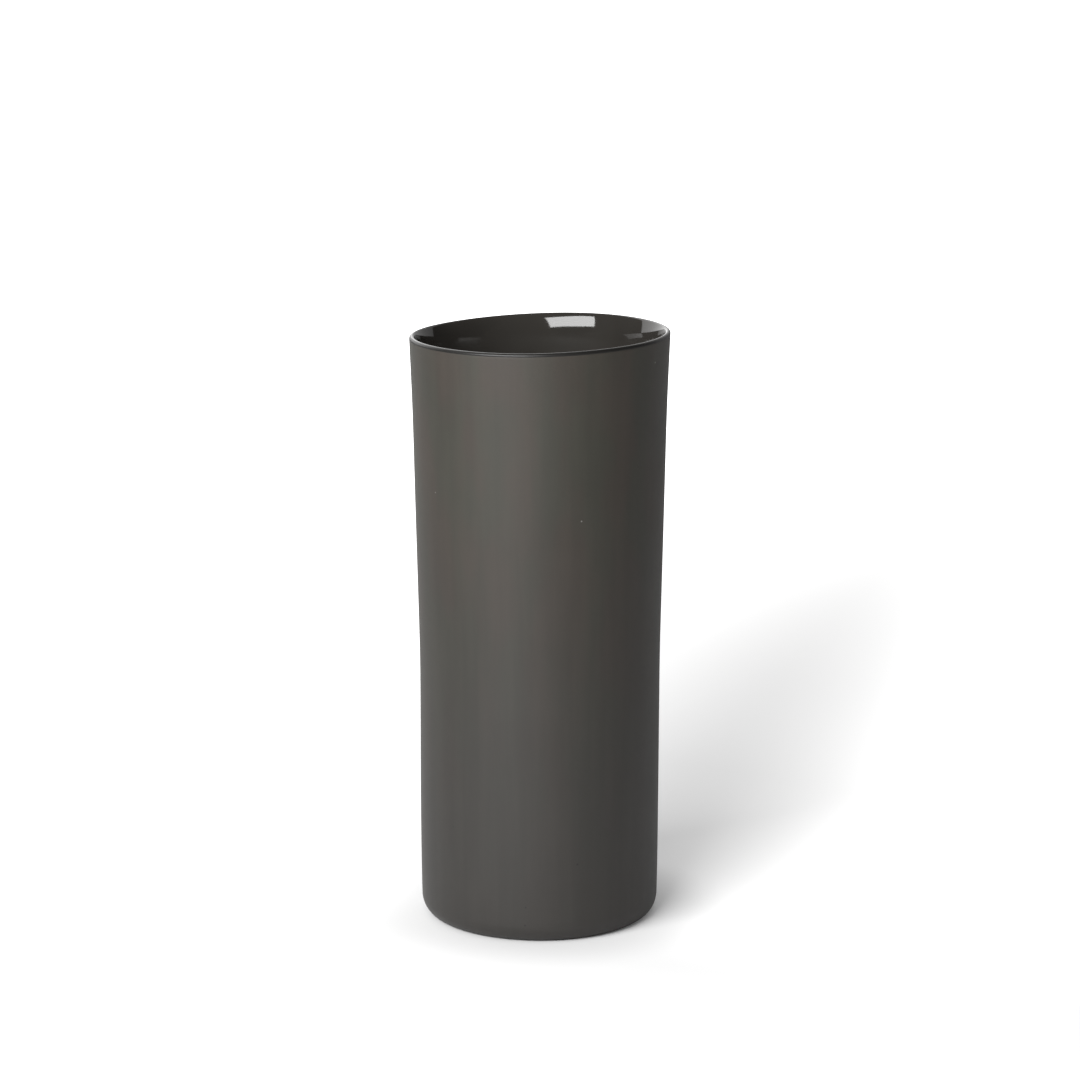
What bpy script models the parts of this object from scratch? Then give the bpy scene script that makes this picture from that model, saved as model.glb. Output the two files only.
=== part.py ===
"""Tall hand-finished porcelain cylinder vase.

A slip-cast porcelain body, bare and matt on its outside, and the clear gloss
glaze that lines it: over the floor, up the wall, over the lip and a hair down
the outside. Metres, +Z up. The origin is the centre of the foot, on the
surface that the vase stands on.
"""

import math

import bmesh
import bpy

# ---------------------------------------------------------------- dimensions
HEIGHT = 0.300            # mean height of the rim
BARREL_R = 0.0610         # outer radius of the straight lower half
BASE_TAPER = 0.0006       # how much it narrows towards the foot,
TAPER_H = 0.030           # over about this height
FLARE_Z = 0.135           # the wall starts to open out here,
FLARE_SLOPE = 0.0222      # by this much per metre of height
NECK_Z = 0.262            # it opens further towards the lip,
NECK_SLOPE = 0.0195       # by this much more
SOFT = 0.006              # how gently it turns from one slope to the next

CORNER_R = 0.0054         # bottom outer corner, measured along the floor
CORNER_H = 0.0076         # the same corner, measured up the wall
FOOT_IN_R = 0.0490        # inner edge of the flat foot ring
RECESS_R = 0.0465         # edge of the shallow recess under the floor
RECESS_H = 0.0010         # depth of that recess

LIP = 0.0027              # body and glaze together, at the lip
WALL_GAIN = 0.00257       # how much thicker the wall is well below the lip
THIN_H = 0.0058           # depth over which the wall gains most of that
FLOOR = 0.0065            # height of the inner floor above the foot plane
INNER_CORNER = 0.0080     # radius between the inner floor and the inner wall

GLAZE = 0.0003            # thickness of the glaze layer
GAP = 0.0003              # clearance kept between the glaze and the body
WRAP = 0.0017             # how far the glaze comes down outside the lip

RIM_TILT = 0.0015         # the +X side of the rim stands this much proud
RIM_WAVE = 0.0002         # slow unevenness left by trimming the rim by hand
TILT_FROM = 0.240         # below this height nothing follows the rim's tilt

SEGMENTS = 60
WALL_LEVELS = 8
INNER_DEPTHS = (          # levels of the inner wall, measured down from the lip
    0.0016, 0.0036, 0.0062, 0.0100, 0.0160, 0.0260, 0.0450,
    0.0900, 0.1350, 0.1800, 0.2300,
)
ARC_STEPS = 4


# ------------------------------------------------------------------ profiles
def soft_ramp(x):
    """max(x, 0) with a rounded corner."""
    return SOFT * (max(x / SOFT, 0.0) + math.log1p(math.exp(-abs(x) / SOFT)))


def outer_r(z):
    taper = BASE_TAPER * math.exp(-max(z - CORNER_H, 0.0) / TAPER_H)
    flare = FLARE_SLOPE * soft_ramp(z - FLARE_Z) + NECK_SLOPE * soft_ramp(z - NECK_Z)
    return BARREL_R - taper + flare


def arc(centre_r, centre_z, radius_r, radius_z, start, end, steps=ARC_STEPS):
    """Quarter or half ellipse as (radius, height) points, angles in degrees."""
    points = []
    for i in range(steps + 1):
        a = math.radians(start + (end - start) * i / steps)
        points.append(
            (centre_r + radius_r * math.cos(a), centre_z + radius_z * math.sin(a))
        )
    return points


LIP_Z = HEIGHT - LIP / 2                       # centre of the rounded lip
LIP_R = outer_r(LIP_Z) - LIP / 2
# The inner wall leaves the rounded lip where the two have the same slope.
LIP_SLOPE = math.atan(WALL_GAIN / THIN_H + FLARE_SLOPE + NECK_SLOPE)
JOIN_Z = LIP_Z + LIP / 2 * math.sin(LIP_SLOPE)
JOIN_R = LIP_R - LIP / 2 * math.cos(LIP_SLOPE)


def inner_r(z):
    """Finished inner wall: the lip flares inside as well, down to a thicker wall."""
    gain = WALL_GAIN * (1.0 - math.exp(-max(JOIN_Z - z, 0.0) / THIN_H))
    return JOIN_R + outer_r(z) - outer_r(JOIN_Z) - gain


def under_inner(z, depth):
    """The point of a layer that lies this deep, square to the inner wall."""
    slope = math.atan((inner_r(z + 0.0001) - inner_r(z - 0.0001)) / 0.0002)
    return inner_r(z) + depth * math.cos(slope), z - depth * math.sin(slope)


def levels(low, high, count):
    return [low + (high - low) * i / count for i in range(1, count)]


def inner_side(depth):
    """Inner wall, corner and floor of a layer, from the lip to the axis."""
    floor_z = FLOOR - depth
    corner = INNER_CORNER + depth
    corner_z = floor_z + corner
    points = [under_inner(JOIN_Z - down, depth) for down in INNER_DEPTHS]
    points += arc(
        inner_r(corner_z) + depth - corner, corner_z, corner, corner, 0, -90
    )
    return points + [(0.0, floor_z)]


def lip(depth):
    """The rounded lip of a layer, from its outer side to its inner side."""
    radius = LIP / 2 - depth
    end = 180 - math.degrees(LIP_SLOPE)
    return arc(LIP_R, LIP_Z, radius, radius, 0, end, 2 * ARC_STEPS - 2)


def body_profile():
    """Half section of the porcelain, from the axis under the floor, around."""
    shoulder = HEIGHT - WRAP - GAP
    rebate = GLAZE + GAP
    points = [(0.0, RECESS_H), (RECESS_R, RECESS_H), (FOOT_IN_R, 0.0)]
    points += arc(
        outer_r(CORNER_H) - CORNER_R, CORNER_H, CORNER_R, CORNER_H, -90, 0, ARC_STEPS + 1
    )
    points += [(outer_r(z), z) for z in levels(CORNER_H, shoulder, WALL_LEVELS + 1)]
    points += [(outer_r(shoulder), shoulder), (outer_r(shoulder) - rebate, shoulder)]
    return points + lip(rebate) + inner_side(rebate)


def glaze_profile():
    """Half section of the glaze: its exposed side, then its hidden side."""
    end = HEIGHT - WRAP
    hidden = list(reversed(lip(GLAZE) + inner_side(GLAZE)))
    edge = [(outer_r(end) - GLAZE, end), (outer_r(end), end)]
    return hidden + edge + lip(0.0) + inner_side(0.0)


# -------------------------------------------------------------------- solids
def rim_shift(angle):
    """Height of the hand-trimmed rim above its mean, around the vase."""
    return RIM_TILT * math.cos(angle) + RIM_WAVE * math.sin(2 * angle)


def lifted(z, angle):
    t = min(max((z - TILT_FROM) / (LIP_Z - TILT_FROM), 0.0), 1.0)
    return z + rim_shift(angle) * t * t * (3 - 2 * t)


def turn(name, profile, material, parent):
    """Turn a half section about Z into one closed, named solid."""
    bm = bmesh.new()
    rings = []
    for r, z in profile:
        if r < 1e-9:
            rings.append([bm.verts.new((0.0, 0.0, z))])
            continue
        ring = []
        for i in range(SEGMENTS):
            a = 2 * math.pi * i / SEGMENTS
            ring.append(
                bm.verts.new((r * math.cos(a), r * math.sin(a), lifted(z, a)))
            )
        rings.append(ring)
    for low, high in zip(rings, rings[1:]):
        for i in range(SEGMENTS):
            j = (i + 1) % SEGMENTS
            if len(low) == 1:
                bm.faces.new((low[0], high[j], high[i]))
            elif len(high) == 1:
                bm.faces.new((low[i], low[j], high[0]))
            else:
                bm.faces.new((low[i], low[j], high[j], high[i]))
    bmesh.ops.recalc_face_normals(bm, faces=bm.faces)
    mesh = bpy.data.meshes.new(name)
    bm.to_mesh(mesh)
    bm.free()
    mesh.shade_smooth()
    mesh.set_sharp_from_angle(angle=math.radians(40))
    mesh.materials.append(material)
    obj = bpy.data.objects.new(name, mesh)
    bpy.context.collection.objects.link(obj)
    obj.parent = parent
    return obj


def principled(name, colour, roughness, coat=0.0):
    material = bpy.data.materials.new(name)
    material.use_nodes = True
    shader = material.node_tree.nodes["Principled BSDF"]
    shader.inputs["Base Color"].default_value = (*colour, 1.0)
    shader.inputs["Roughness"].default_value = roughness
    shader.inputs["Metallic"].default_value = 0.0
    shader.inputs["Coat Weight"].default_value = coat
    material.diffuse_color = (*colour, 1.0)
    return material


def main():
    for old in list(bpy.data.objects):
        bpy.data.objects.remove(old, do_unlink=True)
    vase = bpy.data.objects.new("vase", None)
    bpy.context.collection.objects.link(vase)
    bisque = principled("matt_porcelain", (0.115, 0.110, 0.100), 0.75)
    glaze = principled("gloss_glaze", (0.055, 0.052, 0.048), 0.12, 1.0)
    turn("porcelain_body", body_profile(), bisque, vase)
    turn("inner_glaze", glaze_profile(), glaze, vase)


main()
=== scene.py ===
"""Looks for the tall porcelain cylinder vase: a fine mesh for the matt body and
one for the gloss glaze lining, their materials, a white sweep, one softbox and
the camera. Metres, +Z up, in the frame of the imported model."""

import math

import bpy
import numpy as np
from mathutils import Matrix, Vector


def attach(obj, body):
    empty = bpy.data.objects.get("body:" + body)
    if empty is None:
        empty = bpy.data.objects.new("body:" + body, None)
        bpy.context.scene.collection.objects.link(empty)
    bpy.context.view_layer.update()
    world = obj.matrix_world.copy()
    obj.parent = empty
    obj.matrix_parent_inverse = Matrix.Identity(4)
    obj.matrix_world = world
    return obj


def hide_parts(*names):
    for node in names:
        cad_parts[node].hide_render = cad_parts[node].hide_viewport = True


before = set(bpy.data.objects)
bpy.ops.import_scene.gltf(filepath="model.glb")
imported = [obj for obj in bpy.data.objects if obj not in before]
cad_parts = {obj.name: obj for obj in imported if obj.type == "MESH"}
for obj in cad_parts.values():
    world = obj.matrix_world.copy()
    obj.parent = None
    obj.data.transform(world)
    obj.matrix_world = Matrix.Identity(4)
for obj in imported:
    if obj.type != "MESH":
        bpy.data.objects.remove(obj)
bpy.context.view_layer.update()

# ------------------------------------------------------------------ camera
DISTANCE = 1.7785         # from the vase's axis, along -Y
EYE = 0.5803              # height of the lens
PITCH = 12.257            # degrees below the horizon
LENS = 120.0

cam_data = bpy.data.cameras.new("camera")
cam_data.lens = LENS
cam_data.sensor_fit = "HORIZONTAL"
cam_data.sensor_width = 36.0
cam_data.clip_start = 0.05
cam_data.clip_end = 80.0
cam = bpy.data.objects.new("camera", cam_data)
bpy.context.collection.objects.link(cam)
cam.location = (0.0, -DISTANCE, EYE)
cam.rotation_euler = (math.radians(90.0 - PITCH), 0.0, 0.0)
bpy.context.scene.camera = cam

# ------------------------------------------------------- the vase's geometry
HEIGHT = 0.300
BARREL_R = 0.0610
BASE_TAPER, TAPER_H = 0.0006, 0.030
FLARE_Z, FLARE_SLOPE = 0.135, 0.0222
NECK_Z, NECK_SLOPE = 0.262, 0.0195
SOFT = 0.006
CORNER_R, CORNER_H = 0.0070, 0.0096
FOOT_IN_R, RECESS_R, RECESS_H = 0.0490, 0.0465, 0.0010
LIP = 0.0027              # thickness over the rounded lip
WALL_GAIN = 0.00257        # how much thicker the wall is well below the lip
THIN_H = 0.0058           # depth over which the wall gains most of that
FLOOR = 0.0065
INNER_CORNER = 0.0080
WRAP = 0.0017             # the glaze ends this far below the lip outside
SKIN = 0.00020            # glaze thickness
LIFT = 0.00002            # between the glaze's back and the porcelain


def soft_ramp(x):
    """max(x, 0) with a rounded corner."""
    return SOFT * np.logaddexp(0.0, np.asarray(x, float) / SOFT)


def outer_r(z):
    z = np.asarray(z, float)
    return (
        BARREL_R
        - BASE_TAPER * np.exp(-np.maximum(z - CORNER_H, 0.0) / TAPER_H)
        + FLARE_SLOPE * soft_ramp(z - FLARE_Z)
        + NECK_SLOPE * soft_ramp(z - NECK_Z)
    )


LIP_Z = HEIGHT - LIP / 2


LIP_R = float(outer_r(LIP_Z)) - LIP / 2
# The inner wall leaves the rounded lip where the two have the same slope.
LIP_SLOPE = math.atan(WALL_GAIN / THIN_H + 0.04)
JOIN_Z = LIP_Z + LIP / 2 * math.sin(LIP_SLOPE)
JOIN_R = LIP_R - LIP / 2 * math.cos(LIP_SLOPE)


def inner_r(z):
    depth = np.maximum(JOIN_Z - np.asarray(z, float), 0.0)
    thinned = WALL_GAIN * (1.0 - np.exp(-depth / THIN_H))
    return JOIN_R + outer_r(z) - float(outer_r(JOIN_Z)) - thinned


def arc(cr, cz, rr, rz, start, end, steps):
    a = np.radians(np.linspace(start, end, steps + 1))
    return np.stack([cr + rr * np.cos(a), cz + rz * np.sin(a)], 1)


def line(points):
    return np.array(points, float)


def offset(path, distance):
    """A path moved sideways, to its left as it runs."""
    d = np.gradient(path, axis=0)
    n = np.stack([-d[:, 1], d[:, 0]], 1)
    n /= np.linalg.norm(n, axis=1)[:, None]
    return path + n * np.reshape(distance, (-1, 1))


def inside_path():
    """The finished inner surface, from the outer side of the lip to the axis."""
    lip = arc(LIP_R, LIP_Z, LIP / 2, LIP / 2, 0, 180 - math.degrees(LIP_SLOPE), 28)
    corner_z = FLOOR + INNER_CORNER
    depth = np.geomspace(0.0003, JOIN_Z - corner_z, 110)
    wall = np.stack([inner_r(JOIN_Z - depth), JOIN_Z - depth], 1)[:-1]
    corner = arc(
        float(inner_r(corner_z)) - INNER_CORNER, corner_z,
        INNER_CORNER, INNER_CORNER, 0, -90, 16,
    )
    flat = np.stack([np.linspace(corner[-1, 0], 0.0, 14)[1:], np.full(13, FLOOR)], 1)
    return np.concatenate([lip, wall, corner, flat])


def outside_path(top):
    """Under the foot and up the outer wall to this height, from the axis."""
    recess = np.stack([np.linspace(0.0, RECESS_R, 10), np.full(10, RECESS_H)], 1)
    ease = np.linspace(0.0, 1.0, 7)[1:]
    slope = np.stack(
        [RECESS_R + (FOOT_IN_R - RECESS_R) * ease,
         RECESS_H * (1.0 - ease * ease * (3.0 - 2.0 * ease))], 1
    )
    base = float(outer_r(CORNER_H))
    ring = line([[0.5 * (FOOT_IN_R + base - CORNER_R), 0.0]])
    corner = arc(base - CORNER_R, CORNER_H, CORNER_R, CORNER_H, -90, 0, 18)
    z = np.concatenate([
        np.linspace(CORNER_H, 0.255, 100)[1:], np.linspace(0.255, top, 48)[1:],
    ])
    wall = np.stack([outer_r(z), z], 1)
    return np.concatenate([recess, slope, ring, corner, wall])


# ----------------------------------------------------- hand-made unevenness
def rim_shift(a):
    """The rim was trimmed by hand: it is 3 mm higher on the right."""
    return (
        0.00150 * np.cos(a) + 0.00019 * np.sin(2 * a)
        - 0.00016 * np.cos(3 * a) - 0.00015 * np.sin(3 * a)
    )


def uneven(points, a):
    """Moves turned points (N, 3) at angles a as the hand left them."""
    x, y, z = points.T
    t = np.clip((z - 0.236) / (LIP_Z - 0.236), 0.0, 1.0)
    z2 = z + rim_shift(a) * t * t * (3 - 2 * t)
    up = np.clip(z / 0.02, 0.0, 1.0)
    swell = up * (
        0.00007 * np.sin(3 * a + 16.0 * z + 0.6)
        + 0.00005 * np.sin(2 * a - 31.0 * z + 2.1)
        + 0.00003 * np.sin(7 * a + 9.0 * z + 4.0)
    )
    r = np.hypot(x, y)
    k = np.where(r > 0.03, (r + swell) / np.maximum(r, 1e-9), 1.0)
    t = np.clip((z - 0.040) / 0.100, 0.0, 1.0)
    lean = -0.00030 * (1.0 - t * t * (3 - 2 * t)) - 0.00005 * t
    return np.stack([x * k + lean, y * k, z2], 1)


SEGMENTS = 288


def turned(name, path, closed=False):
    """A smooth mesh turned about Z from an (r, z) path with its ends on the axis,
    or from a closed loop of such points."""
    a = np.linspace(0.0, 2 * math.pi, SEGMENTS, endpoint=False)
    verts, faces, rings = [], [], []
    count = 0
    for r, z in path:
        if r < 1e-7:
            verts.append(np.array([[0.0, 0.0, z]]))
            rings.append([count])
            count += 1
        else:
            ring = np.stack([r * np.cos(a), r * np.sin(a), np.full(SEGMENTS, z)], 1)
            verts.append(uneven(ring, a))
            rings.append(list(range(count, count + SEGMENTS)))
            count += SEGMENTS
    pairs = list(zip(rings, rings[1:]))
    if closed:
        pairs.append((rings[-1], rings[0]))
    for low, high in pairs:
        for i in range(SEGMENTS):
            j = (i + 1) % SEGMENTS
            if len(low) == 1 and len(high) == 1:
                break
            if len(low) == 1:
                faces.append((low[0], high[j], high[i]))
            elif len(high) == 1:
                faces.append((low[i], low[j], high[0]))
            else:
                faces.append((low[i], low[j], high[j], high[i]))
    mesh = bpy.data.meshes.new(name)
    mesh.from_pydata(np.concatenate(verts).tolist(), [], faces)
    mesh.update()
    mesh.shade_smooth()
    obj = bpy.data.objects.new(name, mesh)
    bpy.context.collection.objects.link(obj)
    return obj


inside = inside_path()                       # exposed glaze, lip outwards first
edge_z = HEIGHT - WRAP
edge_zs = np.linspace(edge_z, LIP_Z, 8)[:-1]
wrap = np.stack([outer_r(edge_zs), edge_zs], 1)
glaze_face = np.concatenate([wrap, inside])
# The glaze thins to a soft edge where it was wiped off outside the lip.
run = np.concatenate([[0.0], np.cumsum(np.linalg.norm(np.diff(glaze_face, axis=0), axis=1))])
skin = SKIN * np.clip(0.12 + run / 0.0010, 0.0, 1.0)
skin[-1] = skin[-2]
glaze_back = offset(glaze_face, skin)
glaze_back[-1] = [0.0, FLOOR - SKIN]
glaze_back[:, 0] = np.maximum(glaze_back[:, 0], 0.0)
under = offset(glaze_face, skin + LIFT)
under[-1] = [0.0, FLOOR - SKIN - LIFT]

body_path = np.concatenate([outside_path(edge_z - 0.0004), under])
body = turned("vase_body", body_path)
glaze_path = np.concatenate([glaze_back[::-1], glaze_face])
glaze = turned("glaze_lining", glaze_path)

for piece, node, slot in (
    (body, "porcelain_body", "matt_porcelain"),
    (glaze, "inner_glaze", "gloss_glaze"),
):
    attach(piece, "root")
    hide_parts(node)


# ----------------------------------------------------------------- materials
def new_material(name):
    material = bpy.data.materials.new(name)
    material.use_nodes = True
    tree = material.node_tree
    return material, tree, tree.nodes["Principled BSDF"]


def node(tree, kind, **values):
    made = tree.nodes.new(kind)
    for key, value in values.items():
        if key.startswith("in_"):
            made.inputs[int(key[3:])].default_value = value
        else:
            setattr(made, key, value)
    return made


def noise(tree, vector, scale, detail=3.0, rough=0.5):
    made = tree.nodes.new("ShaderNodeTexNoise")
    made.inputs["Scale"].default_value = scale
    made.inputs["Detail"].default_value = detail
    made.inputs["Roughness"].default_value = rough
    tree.links.new(vector, made.inputs["Vector"])
    return made.outputs["Fac"]


def scaled(tree, vector, scale):
    made = node(tree, "ShaderNodeMapping", vector_type="POINT")
    made.inputs["Scale"].default_value = scale
    tree.links.new(vector, made.inputs["Vector"])
    return made.outputs["Vector"]


def ramp(tree, value, low, high, to_low=0.0, to_high=1.0, smooth=True):
    made = node(
        tree, "ShaderNodeMapRange",
        interpolation_type="SMOOTHSTEP" if smooth else "LINEAR",
    )
    made.inputs["From Min"].default_value = low
    made.inputs["From Max"].default_value = high
    made.inputs["To Min"].default_value = to_low
    made.inputs["To Max"].default_value = to_high
    tree.links.new(value, made.inputs["Value"])
    return made.outputs["Result"]


def math_node(tree, operation, a, b):
    made = node(tree, "ShaderNodeMath", operation=operation)
    for i, v in enumerate((a, b)):
        if isinstance(v, (int, float)):
            made.inputs[i].default_value = v
        else:
            tree.links.new(v, made.inputs[i])
    return made.outputs[0]


def blend(tree, factor, a, b):
    made = node(tree, "ShaderNodeMix", data_type="FLOAT")
    for socket, v in ((made.inputs[0], factor), (made.inputs[2], a), (made.inputs[3], b)):
        if isinstance(v, (int, float)):
            socket.default_value = v
        else:
            tree.links.new(v, socket)
    return made.outputs[0]


def mix(tree, factor, a, b, how="MIX"):
    made = node(tree, "ShaderNodeMix", data_type="RGBA", blend_type=how)
    for socket, v in ((made.inputs[0], factor), (made.inputs[6], a), (made.inputs[7], b)):
        if isinstance(v, (int, float)):
            socket.default_value = v
        elif isinstance(v, tuple):
            socket.default_value = (*v, 1.0)
        else:
            tree.links.new(v, socket)
    return made.outputs[2]


OLIVE = (0.0274, 0.0258, 0.0178)
RUST = (0.0322, 0.0248, 0.0180)
COOL = (0.0272, 0.0245, 0.0221)
GLAZE_COLOUR = (0.026, 0.0240, 0.0213)
# Outer-lip colour: the glaze's own darker tone with painted shade in it, for the dark
# reflected band.
LIP_TONE_AND_SHADE = (0.0115, 0.0108, 0.0098)


# Pale specks and dark pits in the bare porcelain: place and size.
PALE_SPECKS = (
    ((0.0567, -0.0317, 0.2900), 0.00050),
    ((0.0203, -0.0594, 0.2161), 0.00042),
    ((-0.0516, -0.0362, 0.2258), 0.00038),
    ((-0.0330, 0.0520, 0.1720), 0.00040),
    ((0.0480, 0.0390, 0.0870), 0.00036),
)
DARK_PITS = (
    ((-0.0072, -0.0602, 0.0191), 0.00050),
    ((-0.0075, -0.0600, 0.0096), 0.00060),
    ((0.0187, -0.0578, 0.0408), 0.00060),
    ((-0.0434, -0.0427, 0.0560), 0.00055),
    ((0.0560, 0.0240, 0.0260), 0.00050),
)


def spots(tree, place, wanted):
    """1 within any of these (centre, radius) spots and 0 outside them."""
    total = 0.0
    for centre, radius in wanted:
        far = node(tree, "ShaderNodeVectorMath", operation="DISTANCE")
        tree.links.new(place, far.inputs[0])
        far.inputs[1].default_value = centre
        spot = ramp(tree, far.outputs["Value"], 0.4 * radius, 1.2 * radius, 1.0, 0.0)
        total = math_node(tree, "ADD", total, spot)
    return total


def body_material():
    material, tree, shader = new_material("matt_porcelain_look")
    place = node(tree, "ShaderNodeTexCoord").outputs["Object"]
    streak = noise(tree, scaled(tree, place, (170.0, 170.0, 9.0)), 1.0, 3.0, 0.55)
    cloud = noise(tree, place, 26.0, 4.0, 0.55)
    grain = noise(tree, place, 2600.0, 2.0, 0.6)
    light = math_node(tree, "ADD", ramp(tree, streak, 0.3, 0.7, -0.07, 0.07),
                      ramp(tree, cloud, 0.3, 0.7, -0.05, 0.05))
    light = math_node(tree, "ADD", light, ramp(tree, grain, 0.3, 0.7, -0.05, 0.05))
    light = math_node(tree, "ADD", light, 1.0)
    # Warm taupe, with faint olive and rust patches, cooler towards the foot.
    patch = noise(tree, scaled(tree, place, (55.0, 55.0, 17.0)), 1.0, 2.0)
    tint = mix(tree, ramp(tree, patch, 0.36, 0.64), OLIVE, RUST)
    split = node(tree, "ShaderNodeSeparateXYZ")
    tree.links.new(place, split.inputs[0])
    cool = ramp(tree, split.outputs["Z"], 0.02, 0.26, 0.85, 0.0)
    tint = mix(tree, cool, tint, COOL)
    grey = node(tree, "ShaderNodeCombineColor")
    for i in range(3):
        tree.links.new(light, grey.inputs[i])
    colour = mix(tree, 1.0, tint, grey.outputs[0], "MULTIPLY")
    colour = mix(tree, spots(tree, place, PALE_SPECKS), colour, (0.22, 0.21, 0.20))
    colour = mix(tree, spots(tree, place, DARK_PITS), colour, (0.008, 0.008, 0.008))
    tree.links.new(colour, shader.inputs["Base Color"])
    tree.links.new(ramp(tree, cloud, 0.3, 0.7, 0.54, 0.60), shader.inputs["Roughness"])
    shader.inputs["Specular IOR Level"].default_value = 0.72
    shader.inputs["Sheen Weight"].default_value = 0.06
    shader.inputs["Sheen Roughness"].default_value = 0.45
    bump = node(tree, "ShaderNodeBump")
    bump.inputs["Strength"].default_value = 0.25
    bump.inputs["Distance"].default_value = 0.0001
    tree.links.new(grain, bump.inputs["Height"])
    tree.links.new(bump.outputs["Normal"], shader.inputs["Normal"])
    return material


def glaze_material():
    material, tree, shader = new_material("gloss_glaze_look")
    place = node(tree, "ShaderNodeTexCoord").outputs["Object"]
    flat = scaled(tree, place, (1.0, 1.0, 0.0))
    radius = node(tree, "ShaderNodeVectorMath", operation="LENGTH")
    tree.links.new(flat, radius.inputs[0])
    # Over the outside of the lip the glaze was wiped thin, so it is less glossy. Its colour
    # there is darker: partly the glaze's own wet tone, partly painted shade standing in for
    # the dark studio reflected in that band.
    wiped_and_shaded_lip = ramp(tree, radius.outputs["Value"], LIP_R + 0.0002, LIP_R + 0.0008)
    pool = noise(tree, place, 40.0, 3.0, 0.5)
    colour = mix(tree, ramp(tree, pool, 0.3, 0.7), GLAZE_COLOUR,
                 tuple(1.15 * c for c in GLAZE_COLOUR))
    colour = mix(tree, wiped_and_shaded_lip, colour, LIP_TONE_AND_SHADE)
    tree.links.new(colour, shader.inputs["Base Color"])
    gloss = ramp(tree, pool, 0.3, 0.7, 0.045, 0.07)
    # Further down the reflections are softened.
    split = node(tree, "ShaderNodeSeparateXYZ")
    tree.links.new(place, split.inputs[0])
    thin = ramp(tree, split.outputs["Z"], 0.2865, 0.2915, 1.0, 0.0)
    gloss = blend(tree, thin, gloss, 0.20)
    tree.links.new(blend(tree, wiped_and_shaded_lip, gloss, 0.40), shader.inputs["Roughness"])
    shader.inputs["Specular IOR Level"].default_value = 0.43
    peel = noise(tree, place, 90.0, 1.0, 0.4)
    bump = node(tree, "ShaderNodeBump")
    bump.inputs["Strength"].default_value = 0.3
    bump.inputs["Distance"].default_value = 0.0002
    tree.links.new(peel, bump.inputs["Height"])
    tree.links.new(bump.outputs["Normal"], shader.inputs["Normal"])
    return material


body.data.materials.append(body_material())
glaze.data.materials.append(glaze_material())

# --------------------------------------------------------------------- stage
def softbox(name, azimuth, elevation, width, height, radiance):
    """A soft rectangular light aimed at the upper half of the vase, placed by its
    angle left of the camera's side and above the horizon."""
    az, el = math.radians(azimuth), math.radians(elevation)
    toward = Vector(
        (-math.sin(az) * math.cos(el), -math.cos(az) * math.cos(el), math.sin(el))
    )
    data = bpy.data.lights.new(name, "AREA")
    data.shape = "RECTANGLE"
    data.size, data.size_y = width, height
    data.energy = radiance * math.pi * width * height
    light = bpy.data.objects.new(name, data)
    bpy.context.collection.objects.link(light)
    light.location = Vector((0.0, 0.0, 0.25)) + toward * SOFTBOX_D
    light.rotation_euler = toward.to_track_quat("Z", "Y").to_euler()
    return light, toward


SOFTBOX_D = 1.5
SOFTBOX_W, SOFTBOX_H = 1.2, 0.6
SOFTBOX_L = 15.5
BACK_LEFT_L = 1.95
BACK_RIGHT_L = 0.52
FRONT_L = 0.02
TOP_L = 0.05
DOME_L = 0.72
FLOOR_ALBEDO = 0.75
FLOOR_LEAST = 0.374       # light from the softbox and the glow together, at least
FLOOR_DIM = 0.50          # albedo of the sweep as the vase sees it
SHADOW_AZ = 16.65         # the sweep is lifted to white beside this line
RIGHT_LIFT, RIGHT_FROM, RIGHT_OVER = 2.500, 0.000, 0.500
LEFT_LIFT, LEFT_FROM, LEFT_OVER = 0.600, -0.024, 0.300
NEAR_LIFT, NEAR_FROM, NEAR_OVER = 0.138, 0.064, 0.040

box, box_dir = softbox("softbox", 33.0, 26.0, SOFTBOX_W, SOFTBOX_H, SOFTBOX_L)

floor_mesh = bpy.data.meshes.new("floor")
S = 30.0
floor_mesh.from_pydata(
    [(-S, -S, 0), (S, -S, 0), (S, S, 0), (-S, S, 0)], [], [(0, 1, 2, 3)]
)
floor = bpy.data.objects.new("floor", floor_mesh)
bpy.context.collection.objects.link(floor)
floor_material, tree, shader = new_material("white_sweep")
shader.inputs["Roughness"].default_value = 0.9
shader.inputs["Specular IOR Level"].default_value = 0.0
# The sweep glows by as much as the softbox falls short of white on it.
place = node(tree, "ShaderNodeTexCoord").outputs["Object"]
reach = node(tree, "ShaderNodeVectorMath", operation="SUBTRACT")
reach.inputs[0].default_value = box.location
tree.links.new(place, reach.inputs[1])
length = node(tree, "ShaderNodeVectorMath", operation="LENGTH")
tree.links.new(reach.outputs[0], length.inputs[0])


def dot(vector, direction):
    made = node(tree, "ShaderNodeVectorMath", operation="DOT_PRODUCT")
    tree.links.new(vector, made.inputs[0])
    made.inputs[1].default_value = direction
    return made.outputs["Value"]


strength = FLOOR_ALBEDO * SOFTBOX_L * SOFTBOX_W * SOFTBOX_H * box.location.z / math.pi
lit = math_node(
    tree, "MULTIPLY", strength,
    math_node(tree, "DIVIDE", dot(reach.outputs[0], box_dir),
              math_node(tree, "POWER", length.outputs["Value"], 4.0)),
)
glow = math_node(tree, "MAXIMUM", math_node(tree, "SUBTRACT", FLOOR_LEAST, lit), 0.0)
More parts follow.
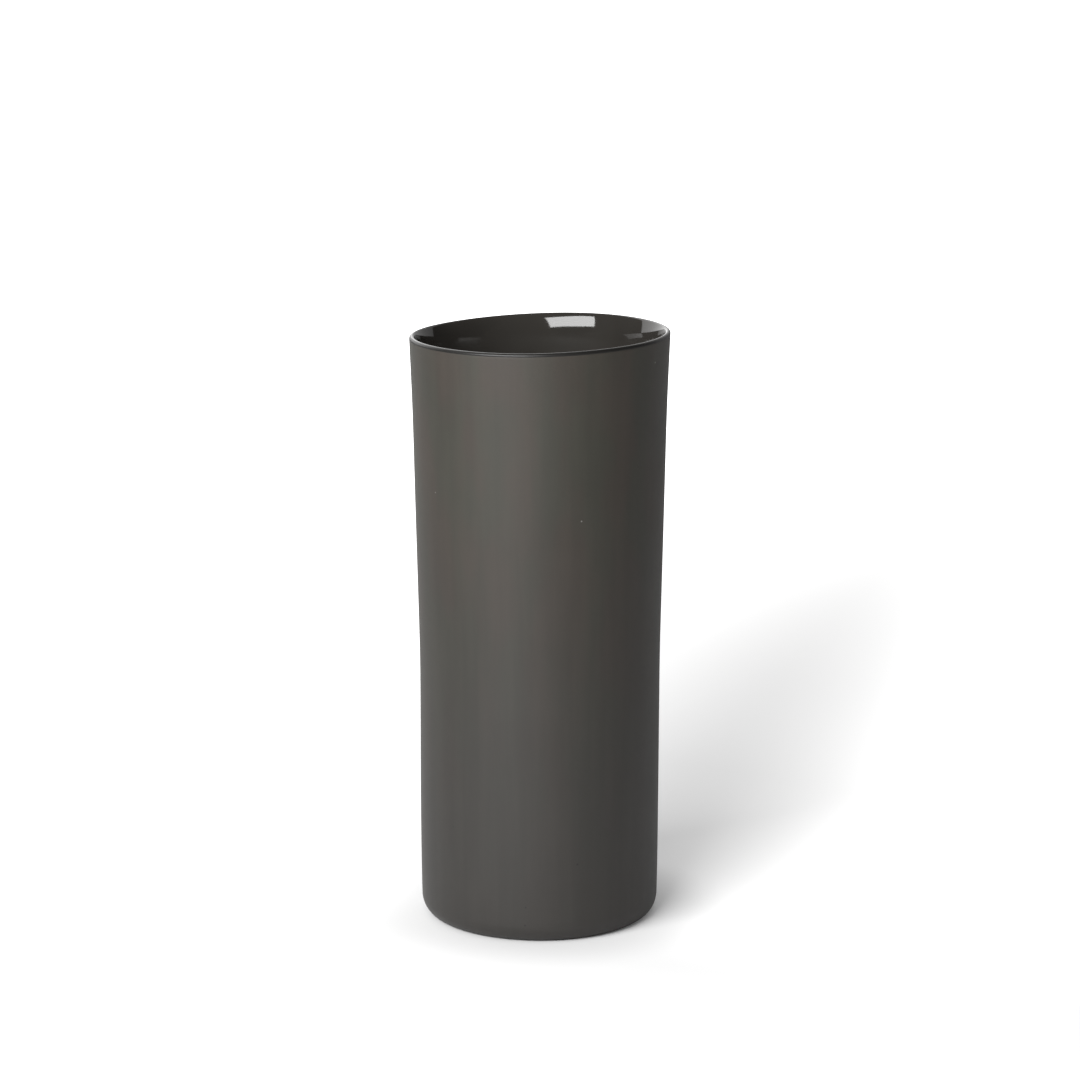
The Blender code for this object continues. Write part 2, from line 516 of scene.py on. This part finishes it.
# Beside the shadow the glow is raised further: painted light that whitens the floor there
# and narrows and sharpens the cast shadow.
across = math.radians(SHADOW_AZ)
side = dot(place, (math.cos(across), -math.sin(across), 0.0))
behind = ramp(tree, dot(place, (math.sin(across), math.cos(across), 0.0)), -0.077, 0.003)
lift = math_node(
    tree, "ADD",
    ramp(tree, side, RIGHT_FROM, RIGHT_FROM + RIGHT_OVER, 0.0, RIGHT_LIFT),
    ramp(tree, side, -LEFT_FROM - LEFT_OVER, -LEFT_FROM, LEFT_LIFT, 0.0),
)
glow = math_node(tree, "ADD", glow, math_node(tree, "MULTIPLY", lift, behind))
away = node(tree, "ShaderNodeVectorMath", operation="LENGTH")
tree.links.new(place, away.inputs[0])
away = away.outputs["Value"]
glow = math_node(
    tree, "ADD", glow,
    math_node(tree, "ADD",
              ramp(tree, away, NEAR_FROM, NEAR_FROM + NEAR_OVER, 0.0, NEAR_LIFT),
              ramp(tree, away, 0.53, 1.73, 0.0, 0.6)),
)
seen = node(tree, "ShaderNodeLightPath").outputs["Is Camera Ray"]
tree.links.new(blend(tree, seen, FLOOR_DIM, FLOOR_ALBEDO), shader.inputs["Base Color"])
shader.inputs["Emission Color"].default_value = (1.0, 1.0, 1.0, 1.0)
tree.links.new(blend(tree, seen, 0.0, glow), shader.inputs["Emission Strength"])
floor_mesh.materials.append(floor_material)

world = bpy.data.worlds.new("studio")
bpy.context.scene.world = world
world.use_nodes = True
tree = world.node_tree
back = tree.nodes["Background"]
where = node(tree, "ShaderNodeTexCoord").outputs["Generated"]
split = node(tree, "ShaderNodeSeparateXYZ")
tree.links.new(where, split.inputs[0])
on_left = ramp(tree, split.outputs["Y"], 0.39, 0.41, FRONT_L, BACK_LEFT_L)
on_right = ramp(tree, split.outputs["Y"], 0.49, 0.51, FRONT_L, BACK_RIGHT_L)
around = blend(tree, ramp(tree, split.outputs["X"], -0.15, 0.15), on_left, on_right)
level = blend(tree, ramp(tree, split.outputs["Z"], 0.55, 0.9), around, TOP_L)
path = node(tree, "ShaderNodeLightPath")
dome = ramp(tree, split.outputs["Z"], 0.3, 0.8, 0.0, DOME_L)
level = blend(tree, path.outputs["Is Diffuse Ray"], level, dome)
level = blend(tree, path.outputs["Is Camera Ray"], level, 1.05)
tree.links.new(level, back.inputs["Strength"])
back.inputs["Color"].default_value = (1.0, 1.0, 1.0, 1.0)

bpy.context.scene.view_settings.view_transform = "Standard"
